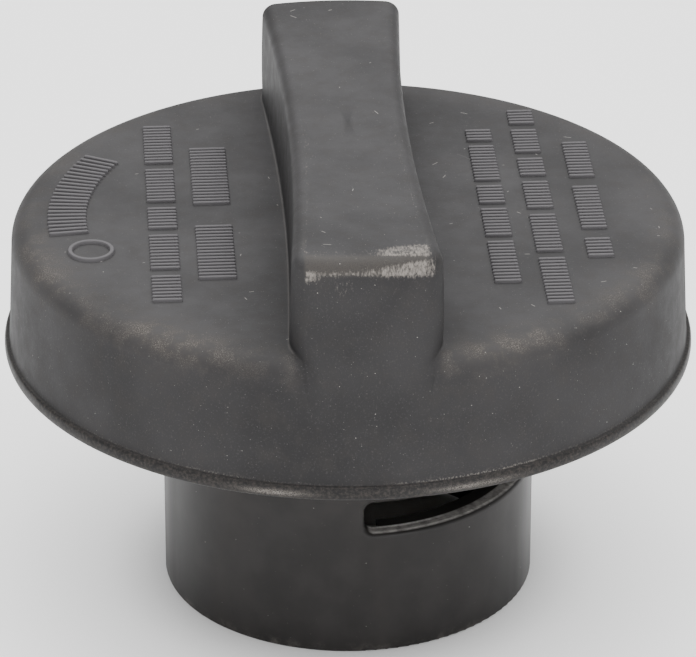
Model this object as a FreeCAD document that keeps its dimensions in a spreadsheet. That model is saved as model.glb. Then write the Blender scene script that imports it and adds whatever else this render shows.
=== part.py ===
import FreeCAD, Part
import math
import os
import re
import Sketcher
from FreeCAD import Placement, Rotation, Vector

# Fuel filler cap: a round cover with a grip handle turns on a closure that locks on the filler neck.
# Frame: millimetres, +Z up, origin on the cap's axis at the lower rim of the sleeve, handle along Y.

# How close an edge's measures come to the sought ones, in millimetres.
CLOSE = 0.01

# The driving dimensions, one row of the sheet each.
SIZES = {
    # sleeve of the closure
    "sleeve_radius": 22.85, "sleeve_wall": 1.7, "sleeve_height": 38.2, "rim_round": 0.3,
    "entry_height": 13.3, "throat_step": 0.3,
    # windows through the sleeve, and the lugs moulded behind them
    "window_count": 2, "window_start": -88.5, "window_span": 72, "window_sill": 16.3,
    "window_rise": 4, "window_corner": 1.2, "window_round": 0.7,
    "lug_count": 2, "lug_inset": 5, "lug_span": 60, "lug_depth": 1.55, "lug_root": 0.1,
    # roof inside the sleeve, and the flange with the ratchet teeth outside it
    "roof_bottom": 29.5, "roof_thick": 2, "roof_hole": 14.2,
    "flange_bottom": 34.8, "flange_thick": 2, "flange_reach": 8.15, "crown_wall": 1.6, "crown_height": 4,
    "tooth_count": 24, "tooth_depth": 1.2, "tooth_share": 0.85, "tooth_root": 0.4,
    # gasket on the neck's rim
    "gasket_bore": 15, "gasket_thick": 3, "gasket_gap": 0.25, "gasket_round": 0.8,
    # housing of the valves
    "hub_radius": 13.9, "hub_wall": 1.9, "hub_bottom": 24, "hub_top": 37, "floor_thick": 1.4,
    "vent_hole": 6.6, "seat_inner": 7.2, "seat_width": 1, "seat_rise": 0.95,
    "housing_gap": 0.35, "housing_flange_thick": 2.2,
    "guide_count": 4, "guide_reach": 0.9, "guide_start": 6, "guide_span": 6, "guide_bottom": 27, "guide_top": 35.8,
    "ring_groove_width": 2, "ring_groove_depth": 1.4, "ring_wire": 0.68,
    "lid_thick": 1.4, "spigot_height": 1, "spigot_wall": 1.6, "spigot_gap": 0.1,
    "spring_post_outer": 7.7, "spring_post_wall": 1.1,
    "breather_count": 4, "breather_radius": 1.5, "breather_circle": 4,
    # pressure valve
    "seal_gap": 0.05, "seal_thick": 1, "seal_bore": 4.2, "seal_radius": 9.4,
    "plate_radius": 10.9, "plate_thick": 1.4, "plate_post_height": 1, "plate_bore": 1.28,
    "bleed_count": 4, "bleed_radius": 0.65, "bleed_circle": 3.3,
    "main_coil_radius": 8.6, "main_wire": 0.45, "main_turns": 5,
    # vacuum valve
    "poppet_radius": 5.8, "poppet_thick": 1, "poppet_bead": 0.6, "poppet_bead_rise": 0.55,
    "stem_radius": 1.2, "stem_top": 33.8, "stem_neck": 0.95, "stem_bevel": 0.3,
    "keeper_radius": 3, "keeper_bottom": 32.4, "keeper_thick": 0.8,
    "small_coil_radius": 2.1, "small_wire": 0.22, "small_turns": 5, "helix_step": 1,
    # cover with its skirt, lip and inner walls
    "cover_bottom": 31.4, "cover_top": 48.1, "disc_thick": 2.2,
    "skirt_space": 2.56, "skirt_wall": 2.2, "skirt_draft": 0.71, "shoulder_round": 2.7,
    "lip_reach": 0.64, "lip_height": 1.7, "lip_taper": 0.4, "lip_bevel": 0.35,
    "pawl_space": 2.8, "boss_wall": 1.6, "boss_bottom": 34.5,
    "stiffener_count": 12, "stiffener_span": 1.8, "stiffener_bottom": 38,
    "carrier_count": 12, "carrier_span": 2.2, "carrier_reach": 5.5, "carrier_bottom": 42.5,
    "key_count": 6, "key_start": 45, "key_span": 4, "key_reach": 1.1, "key_bottom": 37,
    "overlap": 0.3,
    # handle on the cover
    "handle_foot": 46, "handle_top": 60.3, "foot_waist": 7.74, "foot_side_radius": 490,
    "foot_end_inset": 0.15, "top_waist": 7.15, "top_side_radius": 435, "top_end_inset": 2.35,
    "handle_corner": 1.8, "handle_edge": 1.45,
    "handle_wall": 2.2, "core_foot_inset": 4.05, "core_top_inset": 5.25, "core_corner": 0.8,
    "web_count": 5, "web_thick": 1.4, "web_pitch": 12, "web_bottom": 47,
    # pawl ring and retaining ring, both fixed in the cover
    "ring_gap": 0.2, "pawl_rim_wall": 1.1, "pawl_rim_bottom": 36.9, "pawl_web_thick": 1.4,
    "notch_span": 5, "pawl_count": 3, "pawl_start": -45, "pawl_span": 44.5, "pawl_root_span": 8,
    "pawl_arm_gap": 0.3, "pawl_arm_thick": 0.8, "pawl_bottom": 37.2, "pawl_top": 40.7,
    "nose_reach": 1.2, "nose_span": 4.5,
    "keep_ring_play": 0.9, "keep_ring_thick": 1.5, "keep_collar_wall": 1.4, "keep_collar_drop": 0.7,
}

# Places worked out from those dimensions.
PLACES = {
    "sleeve_inner": "sleeve_radius - sleeve_wall",
    "throat_radius": "sleeve_inner - throat_step",
    "window_head": "window_sill + window_rise",
    "lug_inner": "throat_radius - lug_depth",
    "roof_top": "roof_bottom + roof_thick",
    "flange_top": "flange_bottom + flange_thick",
    "crown_radius": "sleeve_radius + flange_reach",
    "crown_inner": "crown_radius - crown_wall",
    "crown_top": "flange_top + crown_height",
    "tooth_pitch": "360 / tooth_count",
    "tooth_foot": "crown_radius - tooth_root",
    "tooth_tip": "crown_radius + tooth_depth",
    "gasket_radius": "throat_radius - gasket_gap",
    "gasket_bottom": "roof_bottom - gasket_thick",
    "hub_inner": "hub_radius - hub_wall",
    "floor_top": "hub_bottom + floor_thick",
    "seat_outer": "seat_inner + seat_width",
    "seat_top": "floor_top + seat_rise",
    "housing_flange": "throat_radius - housing_gap",
    "housing_flange_top": "roof_top + housing_flange_thick",
    "ring_groove_radius": "(hub_radius + housing_flange) / 2",
    "groove_inner": "ring_groove_radius - ring_groove_width / 2",
    "groove_outer": "ring_groove_radius + ring_groove_width / 2",
    "groove_top": "roof_top + ring_groove_depth",
    "lid_top": "hub_top + lid_thick",
    "spigot_bottom": "hub_top - spigot_height",
    "spigot_outer": "hub_inner - spigot_gap",
    "spigot_inner": "spigot_outer - spigot_wall",
    "spring_post_inner": "spring_post_outer - spring_post_wall",
    "seal_bottom": "seat_top + seal_gap",
    "plate_bottom": "seal_bottom + seal_thick",
    "plate_top": "plate_bottom + plate_thick",
    "plate_post_top": "plate_top + plate_post_height",
    "bead_top": "seal_bottom - seal_gap",
    "poppet_top": "bead_top - poppet_bead_rise",
    "poppet_bottom": "poppet_top - poppet_thick",
    "bead_outer": "poppet_radius - overlap",
    "bead_inner": "bead_outer - poppet_bead",
    "keeper_top": "keeper_bottom + keeper_thick",
    "disc_bottom": "cover_top - disc_thick",
    "lip_top": "cover_bottom + lip_height",
    "boss_inner": "tooth_tip + pawl_space",
    "boss_outer": "boss_inner + boss_wall",
    "carrier_inner": "boss_inner - carrier_reach",
    "carrier_start": "180 / carrier_count - carrier_span / 2",
    "key_inner": "boss_inner - key_reach",
    "skirt_foot_inner": "boss_outer + skirt_space",
    "skirt_radius": "skirt_foot_inner + skirt_wall",
    "top_radius": "skirt_radius - skirt_draft",
    "skirt_top_inner": "top_radius - skirt_wall",
    "lip_radius": "skirt_radius + lip_reach",
    "foot_end_radius": "top_radius - foot_end_inset",
    "top_end_radius": "top_radius - top_end_inset",
    "core_foot_end": "top_radius - core_foot_inset",
    "core_top_end": "top_radius - core_top_inset",
    "core_top": "handle_top - handle_wall",
    "pawl_rim_outer": "boss_inner - ring_gap",
    "pawl_rim_inner": "pawl_rim_outer - pawl_rim_wall",
    "pawl_web_bottom": "carrier_bottom - pawl_web_thick",
    "arm_inner": "tooth_tip + pawl_arm_gap",
    "arm_outer": "arm_inner + pawl_arm_thick",
    "nose_radius": "arm_inner - nose_reach",
    "pawl_tip": "pawl_start + pawl_span",
    "keep_ring_inner": "sleeve_radius + keep_ring_play",
    "keep_ring_bottom": "boss_bottom - keep_ring_thick",
    "keep_collar_outer": "keep_ring_inner + keep_collar_wall",
    "keep_collar_bottom": "keep_ring_bottom - keep_collar_drop",
}

doc = FreeCAD.newDocument("FuelFillerCap")
sheet = doc.addObject("Spreadsheet::Sheet", "Sizes")
for row, (alias, value) in enumerate(SIZES.items(), start=1):
    sheet.set(f"A{row}", alias)
    sheet.set(f"B{row}", str(value))
    sheet.setAlias(f"B{row}", alias)
doc.recompute()


def bound(text):
    """Turn words of SIZES and PLACES into an expression on the sheet's cells."""
    def replace(match):
        word = match.group()
        if word in PLACES:
            return "(" + bound(PLACES[word]) + ")"
        return "Sizes." + word if word in SIZES else word
    return re.sub(r"[a-z_]+", replace, str(text))


def number(text):
    """The present value of an expression, for a first guess or a comparison."""
    return float(sheet.evalExpression(bound(text)))


def origin_plane(body, role):
    return next(item for item in body.Origin.OriginFeatures if item.Role == role)


def new_sketch(body, name, role, turn=None, lift=None):
    """A sketch on one of the body's origin planes, turned about Z or lifted along the plane's normal."""
    sketch = body.newObject("Sketcher::SketchObject", name)
    sketch.AttachmentSupport = (origin_plane(body, role), [""])
    sketch.MapMode = "FlatFace"
    if turn is not None:
        sketch.AttachmentOffset = Placement(Vector(), Rotation(Vector(0, 1, 0), number(turn)))
        sketch.setExpression("AttachmentOffset.Rotation.Angle", bound(f"({turn}) * 1 deg"))
    if lift is not None:
        sketch.setExpression("AttachmentOffset.Base.z", bound(lift))
    return sketch


def hold(sketch, kind, *items):
    """Add a constraint whose last item is an expression, and bind it."""
    *where, text = items
    index = sketch.addConstraint(Sketcher.Constraint(kind, *where, number(text)))
    sketch.setExpression(f"Constraints[{index}]", bound(text))


def outline(sketch, points):
    """A closed outline of straight lines through points given as pairs of expressions."""
    places = [Vector(number(across), number(up), 0) for across, up in points]
    count = len(points)
    for index in range(count):
        sketch.addGeometry(Part.LineSegment(places[index], places[(index + 1) % count]))
    for index in range(count):
        sketch.addConstraint(Sketcher.Constraint("Coincident", index, 2, (index + 1) % count, 1))
    for index, (across, up) in enumerate(points):
        for kind, text, axis in (("DistanceX", across, -2), ("DistanceY", up, -1)):
            if text == "0":
                sketch.addConstraint(Sketcher.Constraint("PointOnObject", index, 1, axis))
            else:
                hold(sketch, kind, -1, 1, index, 1, text)


def turned(label, points):
    """A body made by turning an outline of radius and height round the axis."""
    body = doc.addObject("PartDesign::Body", label)
    sketch = new_sketch(body, label + "_section", "XZ_Plane")
    outline(sketch, points)
    feature = body.newObject("PartDesign::Revolution", label + "_turned")
    feature.Profile = sketch
    feature.ReferenceAxis = (sketch, ["V_Axis"])
    feature.Angle = 360
    doc.recompute()
    return body


def box_section(inner, outer, bottom, top):
    return [(inner, bottom), (outer, bottom), (outer, top), (inner, top)]


def sectors(body, name, points, start, span, count, cut=False):
    """Sectors of a turned outline, evenly spaced round the axis, added to the body or cut from it."""
    sketch = new_sketch(body, name + "_section", "XZ_Plane", turn=start)
    outline(sketch, points)
    kind = "PartDesign::Groove" if cut else "PartDesign::Revolution"
    feature = body.newObject(kind, name)
    feature.Profile = sketch
    feature.ReferenceAxis = (sketch, ["V_Axis"])
    feature.Angle = number(span)
    feature.setExpression("Angle", bound(f"({span}) * 1 deg"))
    doc.recompute()
    return repeated(body, name, feature, (sketch, ["V_Axis"]), count)


def repeated(body, name, feature, axis, count):
    """Copies of a feature, evenly spaced round an axis."""
    pattern = body.newObject("PartDesign::PolarPattern", name + "_all")
    pattern.Originals = [feature]
    pattern.Axis = axis
    pattern.Angle = 360
    pattern.setExpression("Occurrences", bound(count))
    body.Tip = pattern
    doc.recompute()
    return pattern


def plan_pad(body, name, points, bottom, top, count, cut=False):
    """A prism of an outline drawn in plan, evenly repeated round the axis."""
    sketch = new_sketch(body, name + "_plan", "XY_Plane", lift=bottom)
    outline(sketch, points)
    feature = body.newObject("PartDesign::Pocket" if cut else "PartDesign::Pad", name)
    feature.Profile = sketch
    feature.Length = number(f"{top} - {bottom}")
    feature.setExpression("Length", bound(f"{top} - {bottom}"))
    feature.Reversed = cut
    doc.recompute()
    return repeated(body, name, feature, (sketch, ["N_Axis"]), count)


def round_holes(body, name, radius, circle, bottom, top, count):
    """Round holes along Z, evenly spaced on a circle about the axis."""
    sketch = new_sketch(body, name + "_plan", "XY_Plane", lift=bottom)
    sketch.addGeometry(Part.Circle(Vector(number(circle), 0, 0), Vector(0, 0, 1), number(radius)))
    sketch.addConstraint(Sketcher.Constraint("PointOnObject", 0, 3, -1))
    hold(sketch, "DistanceX", -1, 1, 0, 3, circle)
    hold(sketch, "Radius", 0, radius)
    feature = body.newObject("PartDesign::Pocket", name)
    feature.Profile = sketch
    feature.setExpression("Length", bound(f"{top} - {bottom}"))
    feature.Reversed = True
    doc.recompute()
    return repeated(body, name, feature, (sketch, ["N_Axis"]), count)


def edge_names(feature, chosen):
    """Names of the feature's edges that a test on the edge picks out."""
    return [f"Edge{index}" for index, edge in enumerate(feature.Shape.Edges, start=1) if chosen(edge)]


def rounded(body, name, radius, chosen):
    """A fillet on the body's edges that a test picks out."""
    base = body.Tip
    names = edge_names(base, chosen)
    if not names:
        raise ValueError(f"{name}: no edge to round")
    feature = body.newObject("PartDesign::Fillet", name)
    feature.Base = (base, names)
    feature.Radius = number(radius)
    feature.setExpression("Radius", bound(radius))
    doc.recompute()
    return feature


def is_circle(edge, radius, height):
    """True for a circular edge about the axis at this radius and height."""
    curve = edge.Curve
    if curve.TypeId != "Part::GeomCircle":
        return False
    centre = curve.Center
    misses = (centre.x, centre.y, centre.z - number(height), curve.Radius - number(radius))
    return all(abs(miss) < CLOSE for miss in misses)


def on_cylinder(edge, radius, bottom, top):
    """True for an edge that lies all along a cylinder about the axis, between two heights."""
    spots = edge.discretize(5)
    return all(abs(math.hypot(spot.x, spot.y) - radius) < CLOSE and bottom - CLOSE <= spot.z <= top + CLOSE
               for spot in spots)


def make_closure_sleeve():
    """The moulding that locks on the neck: sleeve, windows, lugs, roof, flange and ratchet crown."""
    body = turned("closure_sleeve", [
        ("sleeve_inner", "0"), ("sleeve_radius", "0"), ("sleeve_radius", "flange_bottom"),
        ("crown_radius", "flange_bottom"), ("crown_radius", "crown_top"), ("crown_inner", "crown_top"),
        ("crown_inner", "flange_top"), ("sleeve_radius", "flange_top"), ("sleeve_radius", "sleeve_height"),
        ("throat_radius", "sleeve_height"), ("throat_radius", "roof_top"), ("roof_hole", "roof_top"),
        ("roof_hole", "roof_bottom"), ("throat_radius", "roof_bottom"), ("throat_radius", "entry_height"),
        ("sleeve_inner", "entry_height")])
    rounded(body, "sleeve_rim_round", "rim_round",
            lambda edge: is_circle(edge, "sleeve_radius", "0") or is_circle(edge, "sleeve_inner", "0"))
    window = box_section("throat_radius - overlap", "sleeve_radius + overlap", "window_sill", "window_head")
    sectors(body, "window", window, "window_start", "window_span", "window_count", cut=True)
    wall = number("sleeve_radius - throat_radius")
    sill, head = number("window_sill"), number("window_head")

    def window_corner(edge):
        height = edge.BoundBox.ZMin
        at_window = min(abs(height - sill), abs(height - head)) < CLOSE
        straight = edge.Curve.TypeId == "Part::GeomLine"
        return straight and at_window and edge.BoundBox.ZLength < CLOSE and abs(edge.Length - wall) < CLOSE
    rounded(body, "window_corners", "window_corner", window_corner)
    radius = number("sleeve_radius")
    rounded(body, "window_edges", "window_round",
            lambda edge: on_cylinder(edge, radius, sill, head))
    lug = box_section("lug_inner", "throat_radius + lug_root", "entry_height", "window_sill")
    sectors(body, "lug", lug, "window_start + lug_inset", "lug_span", "lug_count")
    share = "tooth_pitch * tooth_share"
    plan_pad(body, "tooth", [
        ("tooth_foot", "0"), ("tooth_tip", "0"),
        (f"tooth_foot * cos({share})", f"tooth_foot * sin({share})")],
        "flange_top", "crown_top", "tooth_count")
    return body


def make_neck_gasket():
    """The flat seal that the neck's rim presses against the roof."""
    body = turned("neck_gasket", box_section("gasket_bore", "gasket_radius", "gasket_bottom", "roof_bottom"))
    rounded(body, "gasket_lip", "gasket_round", lambda edge: is_circle(edge, "gasket_bore", "gasket_bottom")
            or is_circle(edge, "gasket_radius", "gasket_bottom"))
    return body


def make_valve_housing():
    """The cup that hangs through the roof, with the valve seat in its floor and guides in its bore."""
    body = turned("valve_housing", [
        ("vent_hole", "hub_bottom"), ("hub_radius", "hub_bottom"), ("hub_radius", "roof_top"),
        ("groove_inner", "roof_top"), ("groove_inner", "groove_top"), ("groove_outer", "groove_top"),
        ("groove_outer", "roof_top"), ("housing_flange", "roof_top"),
        ("housing_flange", "housing_flange_top"), ("hub_radius", "housing_flange_top"),
        ("hub_radius", "hub_top"), ("hub_inner", "hub_top"), ("hub_inner", "floor_top"),
        ("seat_outer", "floor_top"), ("seat_outer", "seat_top"), ("seat_inner", "seat_top"),
        ("seat_inner", "floor_top"), ("vent_hole", "floor_top")])
    guide = box_section("hub_inner - guide_reach", "hub_inner + overlap", "guide_bottom", "guide_top")
    sectors(body, "guide", guide, "guide_start", "guide_span", "guide_count")
    return body


def make_housing_seal():
    """The round-section ring in the housing's groove."""
    ring = doc.addObject("Part::Torus", "housing_o_ring")
    ring.setExpression("Radius1", bound("ring_groove_radius"))
    ring.setExpression("Radius2", bound("ring_wire"))
    ring.setExpression("Placement.Base.z", bound("roof_top + ring_groove_depth / 2"))
    return ring


def make_housing_lid():
    """The lid of the housing: spigot, spring post and breather holes."""
    body = turned("housing_lid", [
        ("0", "hub_top"), ("spring_post_inner", "hub_top"), ("spring_post_inner", "spigot_bottom"),
        ("spring_post_outer", "spigot_bottom"), ("spring_post_outer", "hub_top"),
        ("spigot_inner", "hub_top"), ("spigot_inner", "spigot_bottom"), ("spigot_outer", "spigot_bottom"),
        ("spigot_outer", "hub_top"), ("hub_radius", "hub_top"), ("hub_radius", "lid_top"),
        ("0", "lid_top")])
    round_holes(body, "breather", "breather_radius", "breather_circle", "hub_top", "lid_top",
                "breather_count")
    return body


def make_valve_seal():
    """The rubber disc under the plate: its outer ring meets the housing's seat, its inner one the poppet."""
    return turned("valve_seal", box_section("seal_bore", "seal_radius", "seal_bottom", "plate_bottom"))


def make_pressure_plate():
    """The plate that the main spring holds down, with bleed holes to the vacuum valve."""
    body = turned("pressure_valve_plate", [
        ("plate_bore", "plate_bottom"), ("plate_radius", "plate_bottom"), ("plate_radius", "plate_top"),
        ("spring_post_outer", "plate_top"), ("spring_post_outer", "plate_post_top"),
        ("spring_post_inner", "plate_post_top"), ("spring_post_inner", "plate_top"),
        ("plate_bore", "plate_top")])
    round_holes(body, "bleed", "bleed_radius", "bleed_circle", "plate_bottom", "plate_top", "bleed_count")
    return body


def make_vacuum_valve():
    """The poppet that closes the bleed holes from below, with its stem and sealing bead."""
    return turned("vacuum_valve", [
        ("0", "poppet_bottom"), ("poppet_radius", "poppet_bottom"), ("poppet_radius", "poppet_top"),
        ("bead_outer", "poppet_top"), ("bead_outer", "bead_top"), ("bead_inner", "bead_top"),
        ("bead_inner", "poppet_top"), ("stem_radius", "poppet_top"), ("stem_radius", "keeper_bottom"),
        ("stem_neck", "keeper_bottom"), ("stem_neck", "keeper_top"), ("stem_radius", "keeper_top"),
        ("stem_radius", "stem_top - stem_bevel"), ("stem_neck", "stem_top"), ("0", "stem_top")])


def make_spring_keeper():
    """The clip on the stem's neck that the small spring pushes up."""
    return turned("spring_keeper", box_section("stem_neck", "keeper_radius", "keeper_bottom", "keeper_top"))


def make_spring(label, coil_radius, wire, turns, bottom, top):
    """A helical spring that fills the height from bottom to top."""
    helix = doc.addObject("Part::Helix", label + "_path")
    helix.setExpression("Radius", bound(coil_radius))
    helix.setExpression("Pitch", bound(f"({top} - {bottom} - 2 * {wire}) / {turns}"))
    helix.setExpression("Height", bound(f"{top} - {bottom} - 2 * {wire}"))
    helix.setExpression("SegmentLength", bound("helix_step"))
    ring = doc.addObject("Part::Circle", label + "_wire")
    ring.setExpression("Radius", bound(wire))
    ring.Placement = Placement(Vector(number(coil_radius), 0, 0), Rotation(Vector(1, 0, 0), 90))
    ring.setExpression("Placement.Base.x", bound(coil_radius))
    doc.recompute()
    spring = doc.addObject("Part::Sweep", label)
    spring.Sections = [ring]
    spring.Spine = (helix, [])
    spring.Solid = True
    spring.Frenet = True
    spring.setExpression("Placement.Base.z", bound(f"{bottom} + {wire}"))
    return spring


def handle_plan(body, name, lift, waist, side_radius, end_radius, corner):
    """The handle's plan: two hollowed long sides, two ends that follow the cover's round, four corners."""
    sketch = new_sketch(body, name, "XY_Plane", lift=lift)
    side, end, small = number(side_radius), number(end_radius), number(corner)
    centre = number(waist) + side
    across = (centre ** 2 + (end - small) ** 2 - (side + small) ** 2) / (2 * centre)
    along = math.sqrt((end - small) ** 2 - across ** 2)
    lean = math.atan2(along, centre - across)
    turn = math.atan2(along, across)
    half = math.pi
    arcs = [
        (centre, 0, side, half - lean, half + lean), (across, along, small, -lean, turn),
        (0, 0, end, turn, half - turn), (-across, along, small, half - turn, half + lean),
        (-centre, 0, side, -lean, lean), (-across, -along, small, half - lean, half + turn),
        (0, 0, end, half + turn, 2 * half - turn), (across, -along, small, -turn, lean)]
    for right, up, radius, first, last in arcs:
        circle = Part.Circle(Vector(right, up, 0), Vector(0, 0, 1), radius)
        sketch.addGeometry(Part.ArcOfCircle(circle, first, last))
    joins = [(0, 1, 1, 1), (1, 2, 2, 1), (2, 2, 3, 1), (3, 2, 4, 2),
             (4, 1, 5, 1), (5, 2, 6, 1), (6, 2, 7, 1), (7, 2, 0, 2)]
    for join in joins:
        sketch.addConstraint(Sketcher.Constraint("Tangent", *join))
    for index in (2, 6):
        sketch.addConstraint(Sketcher.Constraint("Coincident", index, 3, -1, 1))
        hold(sketch, "Radius", index, end_radius)
    for index, sign in ((0, ""), (4, "-")):
        sketch.addConstraint(Sketcher.Constraint("PointOnObject", index, 3, -1))
        hold(sketch, "DistanceX", -1, 1, index, 3, f"{sign}({waist} + {side_radius})")
        hold(sketch, "Radius", index, side_radius)
    for index in (1, 3, 5, 7):
        hold(sketch, "Radius", index, corner)
    return sketch


def loft(body, name, kind, lower, upper):
    feature = body.newObject(kind, name)
    feature.Profile = lower
    feature.Sections = [upper]
    feature.Ruled = True
    doc.recompute()
    return feature


def make_cover_shell():
    """The cover moulding: disc, skirt, lip, hollow handle, inner wall and ribs."""
    body = turned("cover_shell", [
        ("0", "cover_top"), ("top_radius", "cover_top"), ("skirt_radius", "lip_top + lip_taper"),
        ("lip_radius", "lip_top"), ("lip_radius", "cover_bottom + lip_bevel"),
        ("lip_radius - lip_bevel", "cover_bottom"), ("skirt_foot_inner", "cover_bottom"),
        ("skirt_top_inner", "disc_bottom"), ("boss_outer", "disc_bottom"), ("boss_outer", "boss_bottom"),
        ("boss_inner", "boss_bottom"), ("boss_inner", "disc_bottom"), ("0", "disc_bottom")])
    rounded(body, "shoulder", "shoulder_round", lambda edge: is_circle(edge, "top_radius", "cover_top"))
    foot = handle_plan(body, "handle_foot_plan", "handle_foot", "foot_waist", "foot_side_radius",
                       "foot_end_radius", "handle_corner")
    crest = handle_plan(body, "handle_crest_plan", "handle_top", "top_waist", "top_side_radius",
                        "top_end_radius", "handle_corner")
    loft(body, "handle", "PartDesign::AdditiveLoft", foot, crest)
    high = number("handle_top")
    rounded(body, "handle_edges", "handle_edge",
            lambda edge: edge.BoundBox.ZMin > high - CLOSE and edge.BoundBox.ZLength < CLOSE)
    stiffener = box_section("boss_outer - overlap", "skirt_foot_inner", "stiffener_bottom",
                            "disc_bottom + overlap")
    sectors(body, "stiffener", stiffener, "stiffener_span / -2", "stiffener_span", "stiffener_count")
    carrier = box_section("carrier_inner", "boss_inner + overlap", "carrier_bottom", "disc_bottom + overlap")
    sectors(body, "carrier", carrier, "carrier_start", "carrier_span", "carrier_count")
    key = box_section("key_inner", "boss_inner + overlap", "key_bottom", "disc_bottom + overlap")
    sectors(body, "key", key, "key_start - key_span / 2", "key_span", "key_count")
    foot = handle_plan(body, "core_foot_plan", "carrier_bottom", "foot_waist - handle_wall",
                       "foot_side_radius", "core_foot_end", "core_corner")
    crest = handle_plan(body, "core_crest_plan", "core_top", "top_waist - handle_wall",
                        "top_side_radius", "core_top_end", "core_corner")
    loft(body, "core", "PartDesign::SubtractiveLoft", foot, crest)
    sketch = new_sketch(body, "web_plan", "XY_Plane", lift="web_bottom")
    half_width = "top_waist - handle_wall / 2"
    near = "web_pitch * (web_count - 1) / -2"
    outline(sketch, [
        (f"-({half_width})", f"{near} - web_thick / 2"), (half_width, f"{near} - web_thick / 2"),
        (half_width, f"{near} + web_thick / 2"), (f"-({half_width})", f"{near} + web_thick / 2")])
    web = body.newObject("PartDesign::Pad", "web")
    web.Profile = sketch
    web.setExpression("Length", bound("core_top + overlap - web_bottom"))
    doc.recompute()
    row = body.newObject("PartDesign::LinearPattern", "web_all")
    row.Originals = [web]
    row.Direction = (sketch, ["V_Axis"])
    row.setExpression("Length", bound("web_pitch * (web_count - 1)"))
    row.setExpression("Occurrences", bound("web_count"))
    body.Tip = row
    doc.recompute()
    return body


def make_pawl_ring():
    """The spring ring keyed in the cover, whose pawls click over the crown's teeth."""
    body = turned("pawl_ring", [
        ("carrier_inner", "pawl_web_bottom"), ("pawl_rim_inner", "pawl_web_bottom"),
        ("pawl_rim_inner", "pawl_rim_bottom"), ("pawl_rim_outer", "pawl_rim_bottom"),
        ("pawl_rim_outer", "carrier_bottom"), ("carrier_inner", "carrier_bottom")])
    notch = box_section("key_inner - ring_gap", "boss_inner + overlap", "pawl_rim_bottom - overlap",
                        "carrier_bottom + overlap")
    sectors(body, "notch", notch, "key_start - notch_span / 2", "notch_span", "key_count", cut=True)
    arm = box_section("arm_inner", "arm_outer", "pawl_bottom", "pawl_top")
    root = box_section("arm_inner", "pawl_rim_inner + overlap", "pawl_bottom", "pawl_top")
    sectors(body, "pawl_root", root, "pawl_start", "pawl_root_span", "pawl_count")
    sectors(body, "pawl_arm", arm, "pawl_start", "pawl_span", "pawl_count")
    heel = "pawl_tip - nose_span"
    outer = "arm_inner + pawl_arm_thick / 2"
    plan_pad(body, "nose", [
        ("nose_radius * cos(pawl_tip)", "nose_radius * sin(pawl_tip)"),
        (f"({outer}) * cos(pawl_tip)", f"({outer}) * sin(pawl_tip)"),
        (f"({outer}) * cos({heel})", f"({outer}) * sin({heel})")],
        "pawl_bottom", "pawl_top", "pawl_count")
    return body


def make_retaining_ring():
    """The ring welded under the cover's inner wall, which carries the closure's flange."""
    return turned("retaining_ring", [
        ("keep_ring_inner", "keep_collar_bottom"), ("keep_collar_outer", "keep_collar_bottom"),
        ("keep_collar_outer", "keep_ring_bottom"), ("boss_outer", "keep_ring_bottom"),
        ("boss_outer", "boss_bottom"), ("keep_ring_inner", "boss_bottom")])


parts = [
    make_closure_sleeve(),
    make_neck_gasket(),
    make_valve_housing(),
    make_housing_seal(),
    make_housing_lid(),
    make_valve_seal(),
    make_pressure_plate(),
    make_spring("pressure_spring", "main_coil_radius", "main_wire", "main_turns", "plate_top", "hub_top"),
    make_vacuum_valve(),
    make_spring_keeper(),
    make_spring("vacuum_spring", "small_coil_radius", "small_wire", "small_turns", "plate_top",
                "keeper_bottom"),
    make_cover_shell(),
    make_pawl_ring(),
    make_retaining_ring(),
]
doc.recompute()

for item in doc.Objects:
    if "Invalid" in item.State or "Error" in item.State:
        raise RuntimeError(f"{item.Label} failed: {item.State}")
for part in parts:
    if part.Shape.isNull() or not part.Shape.isValid() or not part.Shape.Solids:
        raise RuntimeError(f"{part.Label} has no valid solid")

os.makedirs("parts", exist_ok=True)
for part in parts:
    part.Shape.exportStep(f"parts/{part.Label}.step")
    box = part.Shape.BoundBox
    print(f"{part.Label}: {len(part.Shape.Solids)} solid, {part.Shape.Volume:.1f} mm3, "
          f"z {box.ZMin:.2f} to {box.ZMax:.2f}, x {box.XMin:.2f} to {box.XMax:.2f}")
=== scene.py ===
import math

import bpy
import numpy as np
from bpy.props import FloatProperty, FloatVectorProperty, PointerProperty
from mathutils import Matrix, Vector


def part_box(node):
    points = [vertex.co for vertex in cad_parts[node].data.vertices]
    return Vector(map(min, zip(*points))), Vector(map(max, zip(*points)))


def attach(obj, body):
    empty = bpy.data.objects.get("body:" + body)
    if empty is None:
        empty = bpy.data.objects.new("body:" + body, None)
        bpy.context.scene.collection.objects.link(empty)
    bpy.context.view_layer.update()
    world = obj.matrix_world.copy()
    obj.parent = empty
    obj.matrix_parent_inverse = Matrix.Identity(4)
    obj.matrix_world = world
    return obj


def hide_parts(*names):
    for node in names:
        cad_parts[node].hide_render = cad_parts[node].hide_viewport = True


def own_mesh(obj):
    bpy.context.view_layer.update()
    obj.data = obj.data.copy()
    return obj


bl_info = {
    "name": "Fuel Filler Cap",
    "version": (1, 0, 0),
    "blender": (4, 5, 0),
    "location": "3D View > Sidebar > Fuel Cap",
    "description": "Builds the looks of a fuel filler cap: cover, ribs, springs, finishes and studio",
    "category": "Object",
}

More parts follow.
